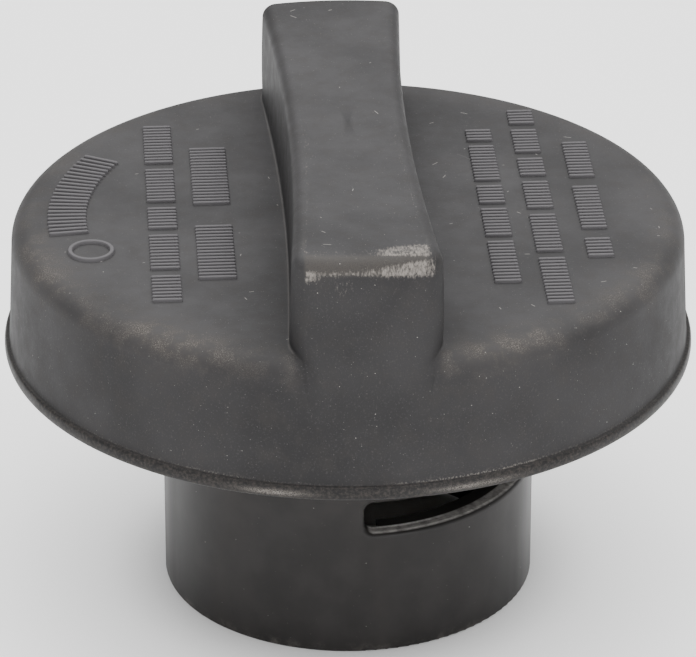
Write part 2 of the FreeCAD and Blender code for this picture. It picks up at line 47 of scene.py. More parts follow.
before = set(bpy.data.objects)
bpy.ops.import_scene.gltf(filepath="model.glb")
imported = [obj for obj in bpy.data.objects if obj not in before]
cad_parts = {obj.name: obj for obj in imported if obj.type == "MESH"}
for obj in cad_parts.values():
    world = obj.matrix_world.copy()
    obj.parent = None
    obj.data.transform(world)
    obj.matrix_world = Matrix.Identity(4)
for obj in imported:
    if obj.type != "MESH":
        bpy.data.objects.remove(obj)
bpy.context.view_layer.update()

MM = 0.001
COVER_LOW, COVER_HIGH = (np.array(corner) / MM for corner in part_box("cover_shell"))
LIP_RADIUS = float(COVER_HIGH[0])
LIP_BOTTOM = float(COVER_LOW[2])
CREST = float(COVER_HIGH[2])
BOSS_BOTTOM = float(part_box("retaining_ring")[1].z / MM)
BOSS_OUTER = float(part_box("retaining_ring")[1].x / MM)
# Millimetres, and degrees round the axis, if nothing else is said
SLEEVE_INNER = 21.15  # radius of the sleeve's bore; the sill, with its dust and painted light, lies outside it
BLEND_RUN = 1.1, 2.3  # past the shoulder's start, the foot of the handle turns into its end blend here
SINK = 0.3  # how far the underside's ribs reach into the moulding
CARRIER_INNER, KEY_INNER = 29.5, 33.9
# Ribs of the underside: lower end, first angle, step and span
STIFFENERS, CARRIERS, KEYS = (38, 0, 30, 1.8), (42.5, 15, 30, 2.2), (37, 45, 60, 4)
# Limits of the rubbed bands on the handle's near edge: places across the handle, and the limit at each
UPPER_BAND_DEPTH = (0, 1.3, 4, 6.2), (1.2, 1.8, 2.3, 2.4)
UPPER_BAND_END = (0, 2, 4, 7.5), (0.1, 0.3, 0.5, 0.95)
LOWER_BAND_END = (-7.2, -6.4, -5, -1, 1.5, 4, 7.5), (1.5, 1.1, 0.35, 0.3, 0.5, 0.8, 0.9)
# Worn stretches of the shoulder: middle, width and strength
SHOULDER_WEAR = ((-124, 22, 1), (-106, 9, 0.7), (-68, 13, 1), (-165, 16, 0.6), (-32, 20, 0.5),
                 (-180, 30, 0.25), (180, 30, 0.25))
COVER_GLOSS, SLEEVE_GLOSS, PLAIN_GLOSS = 0.13, 0.22, 0.34
# Soft boxes: name, place, width and height in metres, power in watts
LAMPS = (("overhead_box", (0.05, 0.10, 1.0), 2.0, 2.0, 40.0), ("front_box", (0.0, -1.2, 0.24), 2.0, 0.3, 9.0))


def length(name, description, default):
    """A length kept in metres and shown in the scene's unit."""
    return FloatProperty(name=name, description=description, default=default * MM, unit="LENGTH", precision=5)


def factor(name, description, default):
    return FloatProperty(name=name, description=description, default=default, precision=4)


def angle(name, description, degrees):
    return FloatProperty(name=name, description=description, default=math.radians(degrees), subtype="ANGLE")


def colour(name, description, default):
    return FloatVectorProperty(name=name, description=description, default=default, size=3, subtype="COLOR",
                               min=0, max=1)


class CoverSizes(bpy.types.PropertyGroup):
    """Sizes of the cover moulding."""
    disc_drop: length("Disc drop", "How far the disc lies under the handle's crest", 12.2)
    skirt_foot: length("Skirt foot radius", "Radius of the skirt where it meets the lip", 41.36)
    skirt_head: length("Skirt head radius", "Radius of the skirt's line at the height of the disc", 40.65)
    shoulder: length("Shoulder radius", "Round between disc and skirt", 2.7)
    lip_height: length("Lip height", "Height of the bead round the skirt's foot", 1.7)
    wall: length("Wall", "Thickness of disc, skirt and handle", 2.2)
    boss_wall: length("Inner wall", "Thickness of the round wall inside the skirt", 1.6)
    crest_waist: length("Crest half width", "Half the handle's width at the middle of its crest", 7.15)
    crest_bow: length("Crest side radius", "Radius of the hollow long sides at the crest", 435)
    crest_end: length("Crest end radius", "Distance of the handle's ends from the axis at the crest", 38.3)
    foot_waist: length("Foot half width", "Half the handle's width at the middle of its foot", 7.74)
    foot_bow: length("Foot side radius", "Radius of the hollow long sides at the foot", 490)
    foot_end: length("Foot end radius", "Distance of the handle's ends from the axis at the foot", 40.5)
    foot_drop: length("Foot drop", "How far under the crest the foot's sizes are taken", 14.3)
    corner: length("Handle corner", "Round of the handle's four upright corners at the crest", 1.8)
    foot_corner: length("Handle foot corner", "Round of the same corners at the foot", 4.4)
    corner_stretch: factor("Corner stretch", "Extra length of the foot's corners over their round", 0.8)
    edge: length("Handle edge", "Round along the edge of the crest", 1.45)
    base: length("Handle base", "Reach of the round between the handle's sides and the disc", 0.32)
    end_base: length("Handle end base", "Reach of the blend from the handle's ends into the skirt", 2.6)
    crest_hollow: length("Crest hollow", "How far the middle of the crest sinks", 0.12)


class RibSizes(bpy.types.PropertyGroup):
    """Sizes of the plain raised ribs on the disc."""
    height: length("Rib height", "How far the ribs stand out of the disc", 0.42)
    thickness: length("Rib thickness", "Thickness of one rib", 0.5)
    pitch: length("Rib pitch", "Distance from rib to rib", 0.86)
    ring_radius: length("Ring radius", "Radius of the plain ring at the foot of the curved row", 2.5)


class CapColours(bpy.types.PropertyGroup):
    """Colours of the finishes."""
    cover: colour("Cover", "Charcoal plastic of the cover", (0.0265, 0.0257, 0.0265))
    # fine dust and painted top light: the level faces are made lighter than the upright faces
    film: colour("Film", "Fine dust that lies on the cover's level faces", (0.0415, 0.0405, 0.0415))
    sleeve: colour("Sleeve", "Darker plastic of the sleeve", (0.0125, 0.0114, 0.0110))
    cloud: colour("Cloud", "Brownish clouds over the cover", (0.044, 0.040, 0.037))
    grain: colour("Grain", "Fine pale grain of the cover", (0.066, 0.064, 0.063))
    edge_film: colour("Edge film", "Brown film on the handle's near edge", (0.072, 0.065, 0.058))
    haze: colour("Haze", "Brown haze on the shoulder", (0.052, 0.0465, 0.042))
    grime: colour("Grime", "Mottled grime on the lip", (0.050, 0.043, 0.037))
    streak: colour("Streak", "Upright streaks of the sleeve", (0.034, 0.029, 0.026))
    # dust and painted light: up-facing faces of the sill are made far paler than the sleeve
    sill_dust_and_light: colour("Settled dust", "Dust on the window's sill", (0.46, 0.44, 0.42))
    # burr with a painted highlight along the left part of the sill's inner edge
    burr_and_highlight: colour("Burr", "Pale inner edge of the sill", (0.9, 0.88, 0.85))
    # also the colour of the painted highlights on the bead and along the handle's base
    wear_and_highlight: colour("Wear", "Scuffed plastic on edges and shoulder", (0.23, 0.21, 0.19))
    dust: colour("Dust", "Specks of dust", (0.36, 0.345, 0.325))
    valve: colour("Valve housing", "Natural plastic of the valve housing", (0.62, 0.60, 0.55))
    poppet: colour("Poppet", "Dark plastic of the poppet", (0.10, 0.10, 0.11))
    ratchet: colour("Ratchet", "Plastic of the pawl ring and the retaining ring", (0.035, 0.035, 0.035))
    rubber: colour("Rubber", "Gasket, round ring and valve seal", (0.02, 0.02, 0.02))
    brass: colour("Brass", "Valve plate and clip", (0.72, 0.57, 0.30))
    steel: colour("Spring steel", "Drawn wire of the springs", (0.60, 0.60, 0.60))


class StudioSettings(bpy.types.PropertyGroup):
    """Camera, floor and lights."""
    distance: length("Distance", "From the camera to the point that it looks at", 600)
    lens: factor("Lens", "Focal length in millimetres", 252.8)
    elevation: angle("Elevation", "Height angle of the camera", 27.05)
    azimuth: angle("Azimuth", "Turn of the camera round the cap from the front", -3.5)
    target_height: length("Target height", "Height that camera and lights look at", 30)
    shift_up: factor("Shift up", "Upward shift of the frame", 0.0257)
    floor_size: length("Floor", "Width of the floor", 8000)
    floor_colour: colour("Floor colour", "Pale colour of the floor", (0.9, 0.9, 0.9))
    floor_glow: factor("Floor glow", "Light that the white table gives", 0.4)
    unlit: length("Unlit radius", "Radius of the table's middle that gives no light, under the cap", 26)
    sky: factor("Surround", "Strength of the white surround", 0.5)


# Meshes

def put_piece(name, points, quads, material, body, fades=None):
    """A smooth mesh from point and corner arrays, given in millimetres, that rides on a CAD body.

    fades maps attribute names to one number a point, which the material reads."""
    mesh = bpy.data.meshes.new(name)
    mesh.vertices.add(len(points))
    mesh.vertices.foreach_set("co", (np.asarray(points) * MM).astype(np.float32).ravel())
    sides = np.where(quads[:, 3] < 0, 3, 4)
    corners = quads[quads >= 0]
    mesh.loops.add(len(corners))
    mesh.loops.foreach_set("vertex_index", corners.astype(np.int32))
    mesh.polygons.add(len(quads))
    mesh.polygons.foreach_set("loop_start", (np.cumsum(sides) - sides).astype(np.int32))
    mesh.polygons.foreach_set("loop_total", sides.astype(np.int32))
    mesh.update(calc_edges=True)
    for key, values in (fades or {}).items():
        mesh.attributes.new(key, "FLOAT", "POINT").data.foreach_set("value", values.astype(np.float32))
    mesh.shade_smooth()
    mesh.set_sharp_from_angle(angle=math.radians(40))
    mesh.materials.append(material)
    piece = bpy.data.objects.new(name, mesh)
    bpy.context.scene.collection.objects.link(piece)
    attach(piece, body)
    return piece


def band_quads(rows, columns):
    """Corners of the faces between neighbouring closed rows of a grid, whose points run row by row."""
    row, column = np.meshgrid(np.arange(rows - 1), np.arange(columns), indexing="ij")
    following = (column + 1) % columns
    return np.stack([row * columns + column, (row + 1) * columns + column,
                     (row + 1) * columns + following, row * columns + following], -1).reshape(-1, 4)


def fan_quads(pole, first, columns, flip):
    """Triangles from a pole to a closed row; the fourth corner is -1."""
    column = np.arange(columns)
    near, far = first + column, first + (column + 1) % columns
    if flip:
        near, far = far, near
    return np.stack([np.full(columns, pole), near, far, np.full(columns, -1)], -1)


def joined(forms):
    """Points and faces of several closed shells as one pair of arrays."""
    starts = np.cumsum([0] + [len(points) for points, _ in forms[:-1]])
    points = np.concatenate([points for points, _ in forms])
    quads = np.concatenate([np.where(quads < 0, -1, quads + start)
                            for (_, quads), start in zip(forms, starts)])
    return points, quads


def sector_block(inner, outer, bottom, top, middle, span, steps=4):
    """A closed sector of a ring: radius, height and angle limits, angles in degrees.

    Four corner points of the section are carried round the axis: p(a) = (r cos a, r sin a, z)."""
    angles = np.radians(middle + np.linspace(-span / 2, span / 2, steps + 1))
    radius = np.array([inner, outer, outer, inner])
    height = np.array([bottom, bottom, top, top])
    points = np.stack([np.outer(np.cos(angles), radius), np.outer(np.sin(angles), radius),
                       np.tile(height, (steps + 1, 1))], -1).reshape(-1, 3)
    sides = band_quads(steps + 1, 4)
    last = steps * 4
    caps = np.array([[0, 1, 2, 3], [last + 3, last + 2, last + 1, last]])
    return points, np.concatenate([sides, caps])


# The cover moulding

def handle_plan(form, height):
    """Half width, side radius, end radius and corner of the handle's plan at a height, drafted evenly.

    The last number is how far the corner is stretched along the handle, which grows to the foot."""
    share = (CREST - height) / (form.foot_drop / MM)
    waist = (form.crest_waist + (form.foot_waist - form.crest_waist) * share) / MM
    bow = (form.crest_bow + (form.foot_bow - form.crest_bow) * share) / MM
    end = (form.crest_end + (form.foot_end - form.crest_end) * share) / MM
    corner = (form.corner + (form.foot_corner - form.corner) * share ** 2) / MM
    return waist, bow, end, corner, 1 + form.corner_stretch * share ** 2


def handle_depth(form, reach, turn, height, inset=0.0):
    """How deep in plan a point lies inside the handle's wall, at a reach and angle from the axis.

    The long sides are arcs centred on the X axis at waist + bow, the ends arcs about the cap's axis.
    With a the gap to the end over the corner's stretch and b the gap to the side, the arc c joins them:
    depth = c - hypot(max(c - a, 0), max(c - b, 0)), or min(a, b) where both are over c.
    inset shrinks the plan evenly, for the hollow core."""
    waist, bow, end, corner, stretch = handle_plan(form, height)
    across, along = np.abs(reach * np.cos(turn)), reach * np.sin(turn)
    end_gap = (end - reach) / stretch
    side_gap = np.hypot(waist + bow - across, along) - bow
    rounded = corner - np.hypot(np.maximum(corner - end_gap, 0), np.maximum(corner - side_gap, 0))
    inside = (end_gap > corner) & (side_gap > corner)
    return np.where(inside, np.minimum(end_gap, side_gap), rounded) - inset


def handle_reach(form, turn, height, inset=0.0):
    """Reach from the axis at which the handle's depth falls to zero, found by halving an interval."""
    near = np.zeros_like(turn + height)
    far = near + LIP_RADIUS + 6
    for _ in range(40):
        middle = (near + far) / 2
        deep = handle_depth(form, middle, turn, height, inset) > 0
        near, far = np.where(deep, middle, near), np.where(deep, far, middle)
    return (near + far) / 2


def skin_marks(form):
    """Marks of the cover's outer line: disc height, draft, and the runs at the shoulder's ends."""
    disc = CREST - form.disc_drop / MM
    foot = LIP_BOTTOM + form.lip_height / MM
    draft = math.atan2((form.skirt_foot - form.skirt_head) / MM, disc - foot)
    shoulder = form.shoulder / MM
    start = form.skirt_head / MM + math.tan(draft) * shoulder - shoulder / math.cos(draft)
    return disc, draft, start, start + shoulder * (math.pi / 2 - draft)


def skin(form, run):
    """Radius and height of the cover's outer line at a run outwards from the axis.

    Flat disc to the shoulder's start, an arc of the shoulder's radius that turns by 90 degrees less the
    draft, then the straight drafted skirt."""
    disc, draft, start, stop = skin_marks(form)
    shoulder = form.shoulder / MM
    swing = np.clip((run - start) / shoulder, 0, math.pi / 2 - draft)
    down = np.maximum(run - stop, 0)
    radius = np.minimum(run, start) + shoulder * np.sin(swing) + down * math.sin(draft)
    height = disc - shoulder * (1 - np.cos(swing)) - down * math.cos(draft)
    return radius, height


def foot_run(form, turn):
    """Run of the outer line where the handle's wall meets it, column by column.

    On the flat disc it is the wall's reach at the disc; beyond, the run is found by halving until the
    wall's reach at the line's height equals the line's radius."""
    disc, _, start, stop = skin_marks(form)
    flat = handle_reach(form, turn, disc)
    near, far = np.full_like(turn, start), np.full_like(turn, stop)
    for _ in range(40):
        middle = (near + far) / 2
        radius, height = skin(form, middle)
        wall_outside = handle_reach(form, turn, height) > radius
        near, far = np.where(wall_outside, middle, near), np.where(wall_outside, far, middle)
    return np.where(flat < start, flat, (near + far) / 2)


def column_turns(count, corner_angles, spread, extra):
    """Angles round the axis that crowd near the handle's corners.

    Density = 1 + extra * sum of bells of the given spread; the angles are equal steps of its integral."""
    fine = np.linspace(-math.pi, math.pi, 20001)
    density = np.ones_like(fine)
    for angle in corner_angles:
        away = np.angle(np.exp(1j * (fine - angle)))
        density += extra * np.exp(-(away / spread) ** 2)
    total = np.concatenate([[0], np.cumsum((density[1:] + density[:-1]) / 2)])
    return np.interp(np.arange(count) / count * total[-1], total, fine)


def bell(value, centre, width):
    return np.exp(-((value - centre) / width) ** 2)


def slope_up(value, low, high):
    """A smooth rise from 0 at low to 1 at high."""
    share = np.clip((value - low) / (high - low), 0, 1)
    return share * share * (3 - 2 * share)


def cover_rows(form, turn):
    """Closed rows of the cover moulding from the crest's middle round to the core's roof.

    Returns radius and height of each row at each column, and each point's runs and gaps for the wear and the
    painted light.
    The handle's foot is a quadratic curve from the wall over a middle point to the outer line. Beside the
    disc the middle point is where wall and line cross. Over the shoulder, as at_end rises, it moves out to
    where the end wall's line meets the skirt's line, so that the end flows into the skirt."""
    disc, draft, start, stop = skin_marks(form)
    edge, base = form.edge / MM, form.base / MM
    foot = LIP_BOTTOM + form.lip_height / MM
    rows = []

    def row(radius, height, edge_run=-99.0, skin_run=-99.0, base_gap=99.0, lip_gap=99.0):
        full = np.zeros_like(turn)
        rows.append([full + item for item in (radius, height, edge_run, skin_run, base_gap, lip_gap)])

    crest_reach = handle_reach(form, turn, CREST, edge)
    for share in (0.12, 0.3, 0.5, 0.7, 0.82, 0.86, 0.89, 0.91, 0.93, 0.95, 0.965, 0.98, 0.99, 0.996):
        hollow = form.crest_hollow / MM * (1 - share ** 2)
        row(crest_reach * share, CREST - hollow, (share - 1) * crest_reach)
    for swing in np.linspace(0, math.pi / 2, 13):
        height = CREST - edge * (1 - math.cos(swing))
        inset = edge * (1 - math.sin(swing))
        row(handle_reach(form, turn, height, inset), height, edge * swing)
    cross = foot_run(form, turn)
    cross_radius, cross_height = skin(form, cross)
    at_end = slope_up(cross - start, *BLEND_RUN)
    wall_top, wall_bottom = CREST - edge, cross_height + base
    for share in (0.015, 0.03, 0.05, 0.075, 0.1, 0.14, 0.19, 0.25, 0.4, 0.55, 0.7, 0.82, 0.92, 1.0):
        height = wall_top + (wall_bottom - wall_top) * share
        row(handle_reach(form, turn, height), height, edge * math.pi / 2 + wall_top - height,
            base_gap=height - cross_height)
    step = 0.01
    slope = (handle_depth(form, cross_radius, turn, cross_height)
             - handle_depth(form, cross_radius + step, turn, cross_height)) / step
    lean = (form.foot_end - form.crest_end) / form.foot_drop
    face_meet = (((form.skirt_head - form.crest_end) / MM + math.tan(draft) * disc - lean * CREST)
                 / (math.tan(draft) - lean))
    meet_run = stop + (skin(form, stop)[1] - face_meet) / math.cos(draft)
    meet = cross + (meet_run - cross) * at_end
    reach = base / np.clip(slope, 0.3, 1)
    landing = meet + reach + (form.end_base / MM - reach) * at_end
    meet_radius, meet_height = skin(form, meet)
    land_radius, land_height = skin(form, landing)
    lift_radius = handle_reach(form, turn, wall_bottom)
    for share in np.linspace(0, 1, 16)[1:]:
        weights = (1 - share) ** 2, 2 * share * (1 - share), share ** 2
        radius = weights[0] * lift_radius + weights[1] * meet_radius + weights[2] * land_radius
        height = weights[0] * wall_bottom + weights[1] * meet_height + weights[2] * land_height
        row(radius, height, skin_run=cross + (landing - cross) * share, base_gap=base * (1 - 2 * share))
    crowd = 0.02
    flat_end = np.maximum(start, landing + crowd)
    for share in (0.04, 0.1, 0.2, 0.35, 0.5, 0.65, 0.8, 0.92, 1.0):
        run = landing + (flat_end - landing) * share
        row(*skin(form, run), skin_run=run, base_gap=-(run - cross))
    round_end = np.maximum(stop, flat_end + crowd)
    for share in np.linspace(0, 1, 13)[1:]:
        run = flat_end + (round_end - flat_end) * share
        row(*skin(form, run), skin_run=run)
    groove = 0.3
    skirt_run = round_end + (disc - foot - groove - (disc - skin(form, round_end)[1])) / math.cos(draft)
    for share in (0.04, 0.1, 0.2, 0.35, 0.5, 0.65, 0.8, 0.9, 0.96, 1.0):
        run = round_end + (skirt_run - round_end) * share
        radius, height = skin(form, run)
        row(radius, height, skin_run=run, lip_gap=height - foot)
    bead = form.lip_height / MM / 2
    neck_radius = form.skirt_foot / MM
    bulge = 0.5
    for swing in np.linspace(0.25, 1, 4):
        angle = swing * math.pi / 2
        row(neck_radius + 0.12 * (1 - math.cos(angle)), foot + groove - groove * math.sin(angle),
            lip_gap=groove - groove * math.sin(angle))
    for angle in np.linspace(math.pi * 0.44, -math.pi / 2, 14):
        row(LIP_RADIUS - bulge + bulge * math.cos(angle) ** 0.7, LIP_BOTTOM + bead + bead * math.sin(angle),
            lip_gap=-bead * (1 - math.sin(angle)))
    inner_foot = neck_radius - form.wall / MM
    inner_head = form.skirt_head / MM - form.wall / MM
    under = disc - form.wall / MM
    boss_inner = BOSS_OUTER - form.boss_wall / MM
    for radius, height in (
            (inner_foot + 0.3, LIP_BOTTOM), (inner_foot, LIP_BOTTOM + 0.3),
            ((inner_foot + inner_head) / 2, (LIP_BOTTOM + under) / 2), (inner_head, under - 0.2),
            (inner_head - 0.2, under), (BOSS_OUTER + 0.2, under), (BOSS_OUTER, under - 0.2),
            (BOSS_OUTER, BOSS_BOTTOM), (boss_inner, BOSS_BOTTOM), (boss_inner, under - 0.2),
            (boss_inner - 0.2, under)):
        row(radius, height)
    wall = form.wall / MM
    core_head = CREST - wall
    mouth = np.minimum(handle_reach(form, turn, under, wall), boss_inner - 0.6)
    row(mouth, under)
    for height in np.linspace(under + 0.2, core_head, 5):
        reach = handle_reach(form, turn, height, wall)
        row(np.minimum(reach, mouth), height)
    roof = handle_reach(form, turn, core_head, wall)
    for share in (0.6, 0.2):
        row(np.minimum(roof, mouth) * share, core_head)
    return np.array(rows).transpose(1, 0, 2)


def wear_marks(form, turn, radius, height, edge_run, skin_run, base_gap, lip_gap):
    """How strongly each point of the cover carries each mark of wear, dirt, dust and painted light, by name,
    from its place on the section.

    edge_run is the way down the handle from the crest's tangent line, skin_run the way out along the
    cover's outer line, base_gap and lip_gap the heights over the handle's base and over the bead. The
    handle's near edge has an upper band on the crest's right and a lower band round the edge, each a
    product of smooth steps between limits that change across the handle, and two single marks."""
    _, _, start, stop = skin_marks(form)
    arc = form.edge / MM * math.pi / 2
    across, along = radius * np.cos(turn), radius * np.sin(turn)
    degrees = np.degrees(turn)
    near_end = slope_up(-along, 31.5, 33.0) * slope_up(across, -7.5, -6.9)
    depth = np.interp(across, *UPPER_BAND_DEPTH)
    upper_end = np.interp(across, *UPPER_BAND_END)
    upper = (slope_up(-along, 33.7, 34.6) * slope_up(-across, -7.5, -6.8)
             * slope_up(edge_run, -depth - 0.5, -depth + 0.7)
             * slope_up(-edge_run, -upper_end - 0.15, 0.3 - upper_end)
             * (0.25 + 0.75 * slope_up(across, 0.0, 2.4)))
    low_top = np.interp(across, [-6.5, -5, -1, 1.5, 4, 7.5],
                        [arc - 0.2, arc - 0.1, arc - 0.2, arc - 0.6, 1.2, 1.1])
    low_end = arc + np.interp(across, *LOWER_BAND_END)
    lower = (slope_up(edge_run, low_top - 0.4, low_top + 0.4)
             * slope_up(-edge_run, -low_end - 0.35, 0.45 - low_end) * slope_up(-across, -7.9, -7.3))
    blotch = 0.5 * bell(across, -3.1, 1.3) * bell(edge_run, arc + 1.5, 0.8)
    corner_mark = 0.5 * bell(across, -6.9, 0.5) * bell(edge_run, -0.6, 1.0)
    side_edge = 0.3 * bell(edge_run, -0.6, 0.9) * slope_up(-along, -8, 12)
    places = sum(share * bell(degrees, middle, width) for middle, width, share in SHOULDER_WEAR)
    skirt = height > LIP_BOTTOM + form.lip_height / MM
    beside = slope_up(np.abs(across), 7.8, 9.2)
    rubbed_lip = 0.2 + 0.8 * bell(degrees, -107, 9) + 0.8 * bell(degrees, -72, 12)
    bead_middle = bell(height, LIP_BOTTOM + 0.45 * form.lip_height / MM, 0.32) * (lip_gap < 0)
    on_handle, on_skin = edge_run > -90, skin_run > 0
    return {
        "edge_wear": np.maximum(np.maximum.reduce([upper, lower, blotch, corner_mark]) * near_end, side_edge),
        "edge_film": (slope_up(edge_run, -0.7, 0.6) * slope_up(-edge_run, -arc - 0.5, -arc + 0.1) * near_end
                      * slope_up(-across, -7.4, -6.6)),
        "shoulder_wear": (bell(skin_run, (start + stop) / 2 - 1.1, 2.4) * skirt * beside
                          * (0.2 + 0.8 * places)),
        # painted highlight: a thin pale line at the base of the handle's left side
        "painted_base_highlight": bell(base_gap, -0.12, 0.14) * (skin_run < start) * (across < 0),
        "lip_dirt": bell(lip_gap, 0.12, 0.13) * rubbed_lip,
        # painted highlight: a pale streak along the middle of the bead, at two places on the front
        "painted_bead_highlight": bead_middle * (bell(across, -11, 3.4) + 0.8 * bell(across, 12, 4.5)) * (along < 0),
        "lip": slope_up(-lip_gap, -0.12, 0.05) * (lip_gap < 90),
        # film: fine dust and painted top light on the crest, the disc and the shoulder beside the handle,
        # made lighter than the upright faces
        "film": (on_handle * slope_up(-edge_run, -1.5, 0.0)
                 + on_skin * np.maximum(slope_up(-skin_run, -start - 0.3, -start + 0.3),
                                        beside * slope_up(-skin_run, -stop - 1.0, -start + 0.5))),
        "level": (on_handle * slope_up(-edge_run, -0.3, 0.1)
                  + on_skin * slope_up(-skin_run, -start - 0.5, -start)),
    }


def cover_moulding(form):
    """The one-piece cover: points, faces and wear.

    One grid of columns round the axis and rows along the section, closed by a pole at the crest and one
    in the core's roof, with the ribs of the underside as closed blocks in the same mesh."""
    corner = math.atan2(form.foot_end - form.corner, form.foot_waist + form.corner)
    corners = (corner, math.pi - corner, -corner, corner - math.pi)
    turn = column_turns(640, corners, math.radians(4), 7)
    radius, height, edge_run, skin_run, base_gap, lip_gap = cover_rows(form, turn)
    rows, columns = radius.shape
    points = np.stack([radius * np.cos(turn), radius * np.sin(turn), height], -1).reshape(-1, 3)
    crest_pole = [0, 0, CREST - form.crest_hollow / MM]
    core_pole = [0, 0, CREST - form.wall / MM]
    points = np.concatenate([points, [crest_pole, core_pole]])
    quads = np.concatenate([
        band_quads(rows, columns),
        fan_quads(rows * columns, 0, columns, False),
        fan_quads(rows * columns + 1, (rows - 1) * columns, columns, True)])
    disc = skin_marks(form)[0]
    under = disc - form.wall / MM
    inner_foot = (form.skirt_foot - form.wall) / MM
    boss_inner = BOSS_OUTER - form.boss_wall / MM
    families = ((BOSS_OUTER - SINK, inner_foot - 0.2, STIFFENERS),
                (CARRIER_INNER, boss_inner + SINK, CARRIERS),
                (KEY_INNER, boss_inner + SINK, KEYS))
    blocks = [sector_block(inner, outer, bottom, under + SINK, middle, span)
              for inner, outer, (bottom, first, step, span) in families
              for middle in np.arange(first, 360, step)]
    all_points, all_quads = joined([(points, quads)] + blocks)
    marks = wear_marks(form, turn, radius, height, edge_run, skin_run, base_gap, lip_gap)
    blank = np.zeros(len(all_points) - rows * columns)
    fades = {key: np.concatenate([(values + 0 * radius).ravel(), blank]) for key, values in marks.items()}
    return all_points, all_quads, fades


# Ribs on the disc

def rib_row(across, start, stop, tall, groups, pitch):
    """Ribs of a straight row along Y: place, direction and length of each.

    Groups of ribs follow each other with an even gap that fills the row from start to stop."""
    count = sum(groups)
    gap = ((stop - start) - (count - len(groups)) * pitch) / max(len(groups) - 1, 1)
    along, first = [], start
    for size in groups:
        along.append(first + np.arange(size) * pitch)
        first = along[-1][-1] + gap
    places = np.stack([np.full(count, across + tall / 2), np.concatenate(along)], -1)
    directions = np.tile([1.0, 0.0], (count, 1))
    return places, directions, np.full(count, tall)


def rib_arc(inner, outer, start, stop, count):
    """Ribs that point outwards on an arc about the axis, from a start to a stop angle in degrees."""
    angles = np.radians(np.linspace(start, stop, count))
    directions = np.stack([np.cos(angles), np.sin(angles)], -1)
    return directions * (inner + outer) / 2, directions, np.full(count, outer - inner)


def rib_forms(places, directions, lengths, thickness, height, floor):
    """Closed loaf-shaped ribs: four stacked outlines that draw in towards the top, with a pole at each end.

    An outline is a bar with round ends, p = place + direction * along + normal * across, whose half
    length and half thickness shrink by the outline's inset."""
    angles = np.linspace(0, 2 * math.pi, 12, endpoint=False) + math.pi / 12
    insets = np.array([0.0, 0.02, 0.06, 0.16]) * thickness / 0.6
    heights = floor + np.array([-0.2, height * 0.55, height * 0.85, height])
    half = thickness / 2 - insets
    cosine, sine = np.cos(angles), np.sin(angles)
    straight = (lengths / 2 - thickness / 2)[:, None, None]
    along = straight * np.sign(cosine) + (half[:, None] * cosine)[None]
    across = np.broadcast_to((half[:, None] * sine)[None], along.shape)
    normals = np.stack([-directions[:, 1], directions[:, 0]], -1)
    plan = (places[:, None, None] + directions[:, None, None] * along[..., None]
            + normals[:, None, None] * across[..., None])
    level = np.broadcast_to(heights[None, :, None, None], plan.shape[:3] + (1,))
    rings = np.concatenate([plan, level], -1).reshape(len(places), -1, 3)
    low = np.concatenate([places, np.full((len(places), 1), heights[0])], -1)[:, None]
    high = np.concatenate([places, np.full((len(places), 1), heights[-1])], -1)[:, None]
    points = np.concatenate([rings, low, high], 1)
    ring = len(angles)
    quads = np.concatenate([
        band_quads(len(heights), ring)[:, ::-1],
        fan_quads(len(heights) * ring, 0, ring, True),
        fan_quads(len(heights) * ring + 1, (len(heights) - 1) * ring, ring, False)])
    shift = (np.arange(len(places)) * points.shape[1])[:, None, None]
    all_quads = np.where(quads[None] < 0, -1, quads[None] + shift)
    return points.reshape(-1, 3), all_quads.reshape(-1, 4)


def ring_form(centre, radius, thickness, height, floor, columns=48):
    """A plain raised ring: a low arched section carried round a circle and closed underneath."""
    angles = np.linspace(0, 2 * math.pi, columns, endpoint=False)
    reach = radius + thickness * np.array([0.5, 0.47, 0.3, -0.3, -0.47, -0.5])
    level = floor + height * np.array([-0.4, 0.7, 1.0, 1.0, 0.7, -0.4])
    points = np.stack([centre[0] + np.outer(reach, np.cos(angles)),
                       centre[1] + np.outer(reach, np.sin(angles)),
                       np.repeat(level[:, None], columns, 1)], -1).reshape(-1, 3)
    quads = band_quads(len(reach), columns)[:, ::-1]
    column = np.arange(columns)
    following = (column + 1) % columns
    last = (len(reach) - 1) * columns
    closing = np.stack([last + column, column, following, last + following], -1)[:, ::-1]
    return points, np.concatenate([quads, closing])


def raised_ribs(ribs, floor):
    """Points and faces of all rows of ribs and of the plain ring."""
    pitch, thickness, height = ribs.pitch / MM, ribs.thickness / MM, ribs.height / MM
    # place across, start and stop along, length of a rib, and how many ribs are in each group
    rows = [
        rib_row(-24.3, -22.6, 25.9, 3.6, (8, 11, 7, 11, 13), pitch),
        rib_row(-18.7, -17.0, 19.0, 4.6, (17, 19), pitch),
        rib_row(16.0, -20.0, 22.4, 3.3, (13, 9, 6, 12, 4), pitch),
        rib_row(21.7, -25.7, 28.0, 3.3, (14, 12, 9, 6, 8, 5), pitch),
        rib_row(27.7, -13.8, 18.0, 3.2, (6, 14, 12), pitch),
        rib_arc(31.6, 36.4, 186.5, 150.5, 23)]
    places, directions, lengths = (np.concatenate(parts) for parts in zip(*rows))
    forms = [rib_forms(places, directions, lengths, thickness, height, floor),
             ring_form((-31.2, -8.9), ribs.ring_radius / MM, thickness * 1.2, height, floor)]
    return joined(forms)


# Springs

